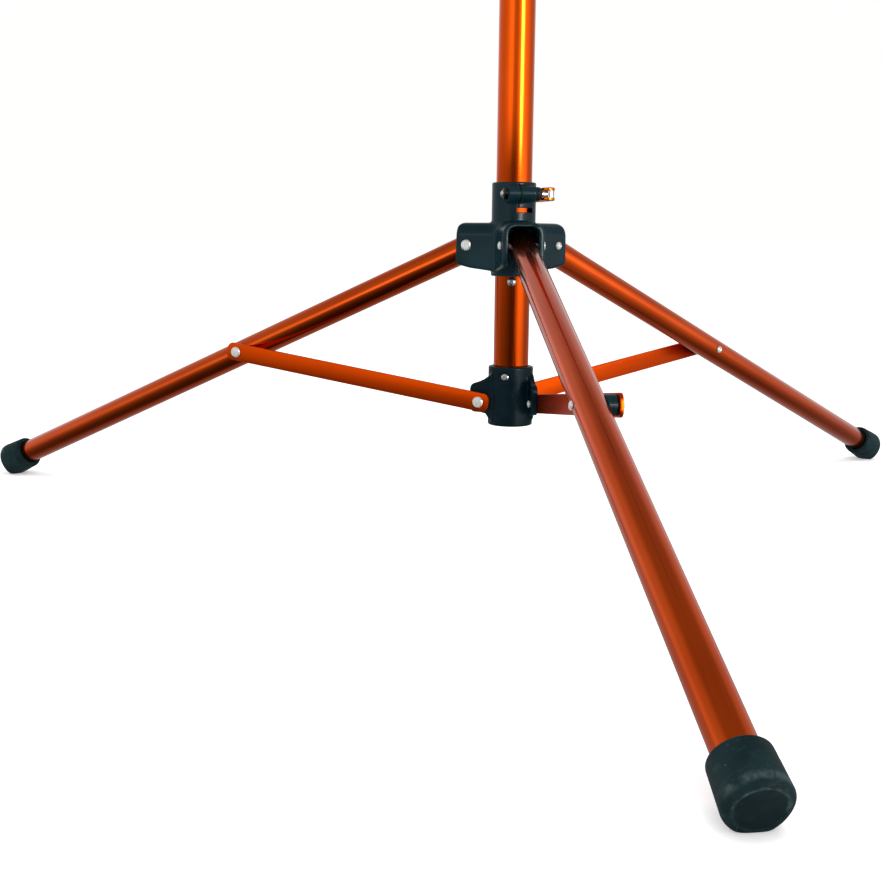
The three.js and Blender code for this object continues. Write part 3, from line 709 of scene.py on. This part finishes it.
def height_clamp(x, y, z):
    rad = length2(x, y)
    d = smax(cyl(x, y, z, 23.5, 874, 930, 1.5), (rad - 20.5 + (z - 930)) * 0.7071, 1.5)
    barrel = cyl(y - QY, z - 914, x, 8.5, -12.1, 17.9, 1.1)
    web = box3(x, y, z, (-10.6, QY + 1, 906.4), (16.4, -12, 921.6), 1.0)
    d = smin(d, smin(barrel, web, 1.2), 2.2)
    d = smax(d, -cyl(x, y, z, 19.35, 800, 900.3), 0.4)
    d = smax(d, -cyl(x, y, z, 16.2, 860, 960), 0.4)
    d = np.maximum(d, -cyl(y - QY, z - 914, x, 3.3, -20, 30))
    d = smax(d, -cyl(y - QY, z - 914, x, 7.8, -30, -12.1), 0.3)
    d = smax(d, -box3(x, y, z, (0.0, -46, 901.0), (1.8, -10, 940)), 0.3)
    return smax(d, -box3(x, y, z, (-9, -36, 899.5), (16.8, -8, 903.5), 0.5), 0.3)


sdf_piece("height_clamp_body", height_clamp, (-25, -36, 873), (25, 25, 931), 0.8, PLASTIC)


# ------------------------------------------------------------------ quick releases
def lever(z0):
    px = 33.4
    path = [(px - 0.2, QY + 4, 5.2), (35.0, -10, 2.9), (35.8, 4, 2.6), (33.6, 18, 2.8), (28.6, 31, 3.3), (24.1, 37.6, 2.2)]

    def fn(x, y, z):
        d = np.full(x.shape, 50.0)
        for (ax, ay, ar), (bx, by, br) in zip(path[:-1], path[1:]):
            ex, ey = bx - ax, by - ay
            t = np.clip(((x - ax) * ex + (y - ay) * ey) / (ex * ex + ey * ey), 0, 1)
            seg = length2(x - ax - ex * t, y - ay - ey * t) - (ar + (br - ar) * t)
            d = smin(d, seg, 1.5)
        d = smin(d, length2(x - (px - 2.0), y - QY) - 7.1, 1.0)
        half = 6.7 + 0 * y
        d = extrude(d, z, z0 - 6.7, z0 + 6.7, 0.9)
        d = smax(d, -box3(x, y, z, (px - 20, QY - 20, z0 - 3.6), (px + 20, QY + 10.5, z0 + 3.6), 1.2), 0.4)
        return np.maximum(d, 4.7 - length2(x - px, y - QY))
    return fn


for prefix, z0 in (("hub", 361.0), ("height", 914.0)):
    place = COLUMN @ Matrix.Translation((0, QY, z0))
    rev_piece(prefix + "_clamp_rod", fillet([(0, -16.3), (3.0, -16.3, 0.5), (3.0, 34.4, 0.4), (0, 34.4)], 3), ZINC, place, 40, "x")
    hexa = [(7.0 * math.cos(math.radians(60 * i)), 7.0 * math.sin(math.radians(60 * i))) for i in range(6)]

    def nut(x, y, z):
        rad = length2(y, z)
        body = smax(extrude(poly2(y, z, hexa), x, -4.4, -0.1, 0.2), np.sqrt((x + 0.1) ** 2 * 2.2 + rad ** 2) - 8.4, 0.3)
        cap = np.sqrt((x + 3.4) ** 2 + rad ** 2) - 3.9
        cap = smin(smax(cap, np.maximum(-x - 7.0, x + 3.9), 0.4), cyl(y, z, x, 3.9, -5.4, -3.9, 0.2), 0.3)
        return np.maximum(smin(body, cap, 0.5), -cyl(y, z, x, 3.3, -4.6, 2))
    sdf_piece(prefix + "_clamp_nut", nut, (-7.1, -7.1, -7.1), (0, 7.1, 7.1), 0.28, NUT, COLUMN @ Matrix.Translation((-12.4, QY, z0)), sharp=50)
    rev_piece(prefix + "_clamp_cup", fillet([(3.3, 18.2, 0.2), (7.2, 18.2, 0.5), (7.2, 21.1, 0.7), (6.0, 24.0, 0.5), (5.1, 24.0, 0.3), (4.9, 22.6, 0.3), (3.3, 22.6, 0.2)], 3), INNER, place, 56, "x")

    def pin(x, y, z):
        return np.maximum(cyl(x, y, z, 4.4, -7.0, 7.0, 0.6), -cyl(y, z, x, 3.25, -10, 1.3))
    sdf_piece(prefix + "_lever_pin", pin, (-4.4, -4.4, -7), (4.4, 4.4, 7), 0.3, SCREW, COLUMN @ Matrix.Translation((33.4, QY, z0)), sharp=50)
    sdf_piece(prefix + "_lever", lever(z0), (21, -34, z0 - 7), (40, 42, z0 + 7), 0.5, LEVER, COLUMN, sharp=45)


# ------------------------------------------------------------------ legs, straps and pins
def foot(x, y, z):
    """Leg frame: x along the leg, z up from it. The end is longer below, with a raised rim around it."""
    rad = length2(y, z)
    down = np.clip(-z / np.maximum(rad, 1e-6), 0, 1)
    low = np.clip(-z / 21.1, 0, 1)
    e = 5.2 + 1.2 * down
    tip = 721.7 + 3.0 * low * low
    r = 19.9 + (1.2 + 0.6 * down) * np.clip((x - 687.9) / 30, 0, 1.2)
    qr, qt = rad - r + e, x - tip + e
    d = length2(np.maximum(qr, 0), np.maximum(qt, 0)) + np.minimum(np.maximum(qr, qt), 0) - e
    d = smax(d, 686.7 - x, 2.4)
    d = smax(d, -np.maximum(rad - 15.2, tip - 0.35 - x), 1.3)
    d = smax(d, -cyl(y, z, x, 14.85, 600, 714.3), 0.8)
    ground = (-(HUB_Z - x * math.cos(TILT) + z * math.sin(TILT)))
    return smax(d, ground, 0.9)


def head_pin(head_y, head_r, head_t, shank_end, tail_r, tail_t, dome=0.5, dish=0.0, r=3.0):
    """Axis y, closed outline of (radius, height): flat domed head and an upset tail."""
    pts = [(0, shank_end - tail_t + dish), (tail_r * 0.45, shank_end - tail_t + dish * 0.9), (tail_r * 0.62, shank_end - tail_t, 0.2), (tail_r, shank_end - tail_t * 0.45, tail_t * 0.4),
           (tail_r, shank_end, 0.1), (r, shank_end), (r, head_y), (head_r, head_y, 0.12), (head_r, head_y + head_t * 0.55, head_t * 0.45),
           (head_r * 0.72, head_y + head_t, 0.5), (0, head_y + head_t)]
    return fillet(pts, 4)


foot_src = None
for side, az in LEG_AZ.items():
    L = leg_frame(az)
    S = sector(az)
    B = strap_frame(az)
    rev_piece("leg_tube_" + side, tube_profile(14.5, 13.0, -10, 714, 0.4), ORANGE["x"], L, 96, "x")
    rev_piece("leg_top_plug_" + side, fillet([(0, -11.8), (13.8, -11.8, 0.5), (14.2, -10.3, 0.2), (12.5, -10.3), (12.5, -5.0, 0.5), (0, -5.0)], 3), INNER, L, 64, "x")
    if foot_src is None:
        foot_src = sdf_piece("foot_" + side, foot, (685, -22.5, -22.5), (726, 22.5, 22), 0.7, RUBBER, L, sharp=50)
    else:
        finish_piece(again(foot_src, "foot_" + side + "_fine", L), "foot_" + side, RUBBER)

    # hub pin: broad flat head on the strap side, smaller dished tail on the other
    P = S @ Matrix.Translation((HUB_R, 0, HUB_Z))
    rev_piece("hub_pin_" + side, head_pin(22.5, 5.75, 2.0, -22.5, 4.1, 2.4, dish=0.9), ZINC, P, 56, "y")
    P = S @ Matrix.Translation((COLLAR_R, 0, COLLAR_Z))
    rev_piece("collar_pin_" + side, head_pin(26.1, 6.0, 2.4, 15.2, 3.9, 1.8, dish=0.7), ZINC, P, 56, "y")
    P = L @ Matrix.Translation((STRAP_ON_LEG, 0, 0))
    rev_piece("strap_pin_" + side, fillet([(0, -16.6), (1.8, -16.7, 0.2), (2.5, -17.0, 0.2), (4.0, -15.9, 0.9), (4.0, -14.8, 0.1), (3.0, -14.8), (3.0, 22.2), (0, 22.2)], 4), ZINC, P, 48, "y")
    rev_piece("strap_rivet_" + side, fillet([(0, 22.7), (3.0, 22.7), (3.0, 26.1), (6.0, 26.1, 0.12), (6.0, 27.5, 1.0), (4.4, 28.5, 0.5), (0, 28.5)], 4), ZINC,
              B @ Matrix.Translation((STRAP_LEN, 0, 0)), 56, "y")

    def spacer(x, y, z):
        d = cyl(x, z, y, 9.2, 2, 22.3, 0.8)
        d = smax(d, 14.8 - length2(y, z), 0.3)
        return np.maximum(d, 3.3 - length2(x, z))
    sdf_piece("strap_spacer_" + side, spacer, (-9.2, 9.5, -9.2), (9.2, 22.4, 9.2), 0.5, PLASTIC, P, sharp=45)

    v, f = strap_mesh(-12, STRAP_LEN + 12, 10.3, 7, 22.6, 25.8)
    finish_piece(mesh_object("strap_" + side + "_fine", v, f, B, 30), "strap_" + side, STRAP)

# ------------------------------------------------------------------ head on the upper mast
AZ_ = 1432.0


def head(x, y, z):
    d = cyl(x, y, z, 21.6, 1366, 1440, 1.6)
    d = smin(d, cyl(x, z - AZ_, y, 21.0, -46, 36, 1.6), 4.0)
    d = smin(d, cyl(y + 26, z - AZ_, x, 10.5, 10, 30, 0.9), 2.5)
    d = smax(d, -cyl(x, y, z, 16.2, 1350, 1408.3), 0.4)
    d = smax(d, -cyl(x, z - AZ_, y, 12.95, -80, 80), 0.4)
    d = np.maximum(d, -cyl(y + 26, z - AZ_, x, 4.3, 5, 40))
    d = smax(d, -cyl(y, z - 1382, x, 4.6, 19.3, 40), 0.4)
    return np.maximum(d, -cyl(y, z - 1382, x, 2.6, 10, 40))


sdf_piece("head_body", head, (-22, -47, 1365), (31, 37, 1454), 1.0, PLASTIC)


def lobed(rad, ang, r, depth, n):
    return (rad - (r - depth * (0.5 - 0.5 * np.cos(n * ang)))) * 0.93


def arm_knob(x, y, z):
    rad, ang = length2(y, z), np.arctan2(z, y)
    d = extrude(lobed(rad, ang, 19, 3.6, 5), x, 37, 51, 2.2)
    d = smax(d, np.sqrt((x - 20) ** 2 + rad ** 2) - 33.2, 1.5)
    d = smin(d, cyl(y, z, x, 9, 31, 40, 0.7), 1.5)
    return np.maximum(d, -cyl(y, z, x, 4.3, 25, 45))


sdf_piece("arm_lock_knob", arm_knob, (30, -19.5, -19.5), (52, 19.5, 19.5), 0.7, GRIP, COLUMN @ Matrix.Translation((0, -26, AZ_)))
rev_piece("arm_lock_screw", fillet([(0, 13.0), (3.0, 13.0, 0.3), (3.9, 14.0, 0.3), (3.9, 44.6, 0.3), (0, 44.6)], 3), ZINC, COLUMN @ Matrix.Translation((0, -26, AZ_)), 40, "x")

# ------------------------------------------------------------------ clamp arm
rev_piece("clamp_arm_tube", tube_profile(12.7, 11.1, -166, 44), ORANGE["y"], COLUMN @ Matrix.Translation((0, 0, AZ_)), 80, "y")
rev_piece("clamp_arm_cap", fillet([(0, 34), (10.8, 34, 0.6), (10.8, 44.3), (15.5, 44.3, 0.5), (15.2, 47.6, 1.6), (13.0, 49, 1.2), (0, 49)], 4), GRIP, COLUMN @ Matrix.Translation((0, 0, AZ_)), 64, "y")
JY = -236.0
Z0 = AZ_
FRAME = [(-152, Z0 - 19), (-152, Z0 + 19), (-168, Z0 + 24), (-182, Z0 + 50), (-196, Z0 + 56), (JY - 30, Z0 + 56), (JY - 36, Z0 + 50), (JY - 36, Z0 + 38), (JY + 34, Z0 + 38),
         (-190, Z0 + 30), (-186, Z0 + 18), (-186, Z0 - 34), (-192, Z0 - 46), (JY + 16, Z0 - 50), (JY - 12, Z0 - 50), (JY - 16, Z0 - 54), (JY - 16, Z0 - 64), (JY - 12, Z0 - 68),
         (JY + 40, Z0 - 68), (-176, Z0 - 60), (-168, Z0 - 26)]


def clamp(x, y, z):
    d2 = poly2(y, z, FRAME)
    plate = extrude(d2, x, -15, 15, 3.2)
    # the faces of the spine are hollowed a little, leaving a rim
    groove = extrude(d2 + 5.5, np.abs(x), 12.2, 20, 0.0)
    d = smax(plate, -groove, 1.6)
    d = smin(d, cyl(x, z - Z0, y, 20, -176, -128, 1.8), 3.0)
    d = smin(d, cyl(x, y - JY, z, 15, Z0 - 68, Z0 - 50, 1.0), 2.0)
    d = smax(d, -cyl(x, z - Z0, y, 13.0, -166.3, -100), 0.4)
    return smax(d, -cyl(x, y - JY, z, 6.4, Z0 - 80, Z0 - 40), 0.4)


sdf_piece("clamp_body", clamp, (-20.5, -273, Z0 - 69), (20.5, -127, Z0 + 57), 1.0, PLASTIC)


def pad(sign):
    pts = [(-19, Z0 + sign * 37.6), (19, Z0 + sign * 37.6), (19, Z0 + sign * 26), (7, Z0 + sign * 30), (-7, Z0 + sign * 30), (-19, Z0 + sign * 26)]

    def fn(x, y, z):
        d = extrude(poly2(x, z, pts), y, JY - 33, JY + 33, 1.0)
        rib = 0.35 * (0.5 - 0.5 * np.cos((y - JY) * 2 * np.pi / 5.0)) * (np.clip((32 - np.abs(z - Z0)) / 3, 0, 1))
        return d + rib
    return fn


sdf_piece("fixed_jaw_pad", pad(1), (-19, JY - 33, Z0 + 25), (19, JY + 33, Z0 + 38), 0.8, PAD)
LOW = [(-19, Z0 - 24.2), (-19, Z0 - 14), (-7, Z0 - 18), (7, Z0 - 18), (19, Z0 - 14), (19, Z0 - 24.2)]


def low_pad(x, y, z):
    d = extrude(poly2(x, z, LOW), y, JY - 33, JY + 33, 1.0)
    return d + 0.35 * (0.5 - 0.5 * np.cos((y - JY) * 2 * np.pi / 5.0)) * np.clip((z - (Z0 - 21)) / 2, 0, 1)


sdf_piece("moving_jaw_pad", low_pad, (-19, JY - 33, Z0 - 25), (19, JY + 33, Z0 - 13), 0.8, PAD)


def jaw(x, y, z):
    d = box3(x, y, z, (-16, JY - 34, Z0 - 36), (16, JY + 34, Z0 - 24.5), 1.8)
    d = smin(d, cyl(x, y - JY, z, 12, Z0 - 42, Z0 - 33, 1.0), 2.0)
    return smax(d, -cyl(x, y - JY, z, 6.2, Z0 - 50, Z0 - 30), 0.3)


sdf_piece("moving_jaw", jaw, (-16, JY - 34, Z0 - 42), (16, JY + 34, Z0 - 24), 0.9, PLASTIC)


def jaw_screw(x, y, z):
    rad, ang = length2(x, y), np.arctan2(y, x)
    thread = 0.45 * np.cos((z - Z0) * 2 * np.pi / 2.0 - ang) * np.clip((z - (Z0 - 114)) / 2, 0, 1) * np.clip(((Z0 - 44) - z) / 2, 0, 1)
    return smax(rad - 5.45 - thread, np.abs(z - (Z0 - 81.15)) - 50.85, 0.6) * 0.8


sdf_piece("jaw_screw", jaw_screw, (-6, -6, Z0 - 132), (6, 6, Z0 - 30.3), 0.42, ZINC, COLUMN @ Matrix.Translation((0, JY, 0)), sharp=0)


def jaw_knob(x, y, z):
    rad, ang = length2(x, y), np.arctan2(y, x)
    d = extrude(lobed(rad, ang, 27, 4.2, 6), z, Z0 - 136, Z0 - 116, 3.0)
    d = smin(d, cyl(x, y, z, 12, Z0 - 120, Z0 - 106, 1.0), 2.5)
    return np.maximum(d, -cyl(x, y, z, 6.2, Z0 - 132.3, Z0 - 80))


sdf_piece("jaw_knob", jaw_knob, (-27.5, -27.5, Z0 - 137), (27.5, 27.5, Z0 - 105), 0.9, GRIP, COLUMN @ Matrix.Translation((0, JY, 0)))

# every CAD node that is still shown gets its finish too
for name, ob in nodes.items():
    if not ob.hide_render:
        m = {"orange_anodised": ORANGE["z"], "black_plastic": PLASTIC, "rubber": RUBBER, "zinc_steel": ZINC, "inner_plastic": INNER}[SLOT_OF[name]]
        ob.data.materials.clear()
        ob.data.materials.append(m)

# ------------------------------------------------------------------ floor, light, camera
bm = bmesh.new()
bmesh.ops.create_grid(bm, x_segments=2, y_segments=2, size=60.0)
me = bpy.data.meshes.new("floor")
bm.to_mesh(me)
bm.free()
floor = bpy.data.objects.new("floor", me)
bpy.context.scene.collection.objects.link(floor)
fm = bpy.data.materials.new("floor_mat")
fm.use_nodes = True
fb = fm.node_tree.nodes["Principled BSDF"]
fb.inputs["Base Color"].default_value = (0.93, 0.93, 0.93, 1)
fb.inputs["Roughness"].default_value = 0.9
fb.inputs["Specular IOR Level"].default_value = 0.0
fb.inputs["Emission Color"].default_value = (1, 1, 1, 1)
fb.inputs["Emission Strength"].default_value = 0.35
me.materials.append(fm)
floor.visible_glossy = False

world = bpy.data.worlds.new("studio")
bpy.context.scene.world = world
world.use_nodes = True
wt = world.node_tree
wt.nodes.clear()


def wn(kind, **props):
    n = wt.nodes.new(kind)
    for k, v in props.items():
        setattr(n, k, v)
    return n


def wset(sock, v):
    if hasattr(v, "links"):
        wt.links.new(v, sock)
    else:
        sock.default_value = v


def wm(op, a, b=None, c=None):
    n = wn("ShaderNodeMath", operation=op)
    for sock, v in zip(n.inputs, (a, b, c)):
        if v is not None:
            wset(sock, v)
    return n.outputs[0]


def ss(v, a, b, lo=0.0, hi=1.0):
    n = wn("ShaderNodeMapRange", interpolation_type="SMOOTHSTEP")
    wset(n.inputs["Value"], v)
    for k, w in (("From Min", a), ("From Max", b), ("To Min", lo), ("To Max", hi)):
        wset(n.inputs[k], w)
    return n.outputs["Result"]


def band(v, a, b, soft):
    return wm("MULTIPLY", ss(v, a - soft, a + soft), ss(v, b - soft, b + soft, 1.0, 0.0))


def lerp(f, a, b):
    return wm("ADD", wm("MULTIPLY", a, wm("SUBTRACT", 1.0, f)), wm("MULTIPLY", b, f))


tc = wn("ShaderNodeTexCoord")
sep = wn("ShaderNodeSeparateXYZ")
wt.links.new(tc.outputs["Generated"], sep.inputs[0])
dx, dy, dz = sep.outputs
el = wm("MULTIPLY", wm("ARCSINE", dz), 180 / math.pi)
az = wm("MULTIPLY", wm("ARCTAN2", dy, dx), 180 / math.pi)
hyp = wm("MAXIMUM", wm("SQRT", wm("ADD", wm("MULTIPLY", dx, dx), wm("MULTIPLY", dy, dy))), 0.05)
back = ss(wm("DIVIDE", dy, hyp), -0.25, 0.75)


def ramp(v, lo, hi, stops, scale):
    """Piecewise linear function of v, through (position, value) stops."""
    n = wn("ShaderNodeMapRange")
    wset(n.inputs["Value"], v)
    n.inputs["From Min"].default_value, n.inputs["From Max"].default_value = lo, hi
    r = wn("ShaderNodeValToRGB")
    els = r.color_ramp.elements
    while len(els) < len(stops):
        els.new(0.5)
    for e, (p, val) in zip(els, stops):
        e.position = (p - lo) / (hi - lo)
        e.color = (val / scale, val / scale, val / scale, 1)
    wset(r.inputs["Fac"], n.outputs["Result"])
    return wm("MULTIPLY", r.outputs["Color"], scale)


above = ramp(az, -180, 180, [(-180, .62), (-162, .80), (-149, 1.0), (-144, 1.35), (-124, 1.35), (-117, .75), (-110, .60), (-101, .48), (-91, .72), (-84, 1.0), (-77, 1.6),
                             (-71, 8.0), (-67, 26.0), (-60, 26.0), (-54, 7.0), (-48, 3.0), (-42, 1.35), (-21, .97), (0, .58), (20, .48), (50, .62), (90, .68), (108, .72),
                             (140, .62), (180, .62)], 28)
below = ramp(az, -180, 180, [(-180, .41), (-151, .33), (-130, .23), (-110, .12), (-97, .13), (-86, .30), (-72, .95), (-60, 1.8), (-51, 2.2), (-40, 1.9), (-28, 1.45), (-14, .86),
                             (0, .48), (20, .38), (40, .40), (90, .46), (138, .40), (180, .41)], 2)
drop_front = ramp(el, -90, 0, [(-90, .10), (-53, .15), (-39, .20), (-28, .32), (-20, .40), (-12, .60), (-4, 1.0), (0, 1.0)], 1)
drop_back = ramp(el, -90, 0, [(-90, .45), (-60, .55), (-30, .78), (-6, 1.0), (0, 1.0)], 1)
above = lerp(ss(el, 11, 25), above, wm("ADD", 0.40, wm("MULTIPLY", back, 0.08)))
above = lerp(ss(el, 34, 60), above, 0.24)
env = lerp(ss(el, -1.5, 4.5), wm("MULTIPLY", below, lerp(back, drop_front, drop_back)), above)
path = wn("ShaderNodeLightPath")
# after more than one bounce the bright strips are held down, which keeps the noise low
env = lerp(wm("GREATER_THAN", path.outputs["Ray Depth"], 2.5), env, wm("MINIMUM", env, 0.9))
diffuse = lerp(ss(el, -6, 30), 0.78, 0.92)
chosen = lerp(path.outputs["Is Glossy Ray"], diffuse, env)
chosen = lerp(path.outputs["Is Camera Ray"], chosen, 1.0)
bg = wn("ShaderNodeBackground")
bg.inputs["Color"].default_value = (1.0, 0.998, 0.994, 1)
wset(bg.inputs["Strength"], chosen)
out = wn("ShaderNodeOutputWorld")
wt.links.new(bg.outputs[0], out.inputs[0])

lamp = bpy.data.lights.new("overhead_soft", "AREA")
lamp.shape = "RECTANGLE"
lamp.size, lamp.size_y = 2.6, 2.6
lamp.energy = 46
lo = bpy.data.objects.new("overhead_soft", lamp)
lo.location = (0.4, -0.3, 3.4)
lo.visible_glossy = False
lo.visible_camera = False
lo.rotation_euler = (Vector((0, 0.17, 0.3)) - lo.location).to_track_quat("-Z", "Y").to_euler()
bpy.context.scene.collection.objects.link(lo)

cam = bpy.data.cameras.new("camera")
cam.sensor_width = 36.0
cam.lens = 47.702
cam.clip_start, cam.clip_end = 0.05, 200
co = bpy.data.objects.new("camera", cam)
right = Vector((0.991019, -0.133443, 0.0086305))
up = Vector((0.0140538, 0.1681195, 0.9856664))
fwd = Vector((0.132981, 0.976693, -0.168485))
m = Matrix((right, up, -fwd)).transposed().to_4x4()
m.translation = Vector((-0.2473, -1.0831, 0.3113))
co.matrix_world = m
bpy.context.scene.collection.objects.link(co)
bpy.context.scene.camera = co
bpy.context.scene.view_settings.view_transform = "Standard"
bpy.context.scene.view_settings.look = "None"
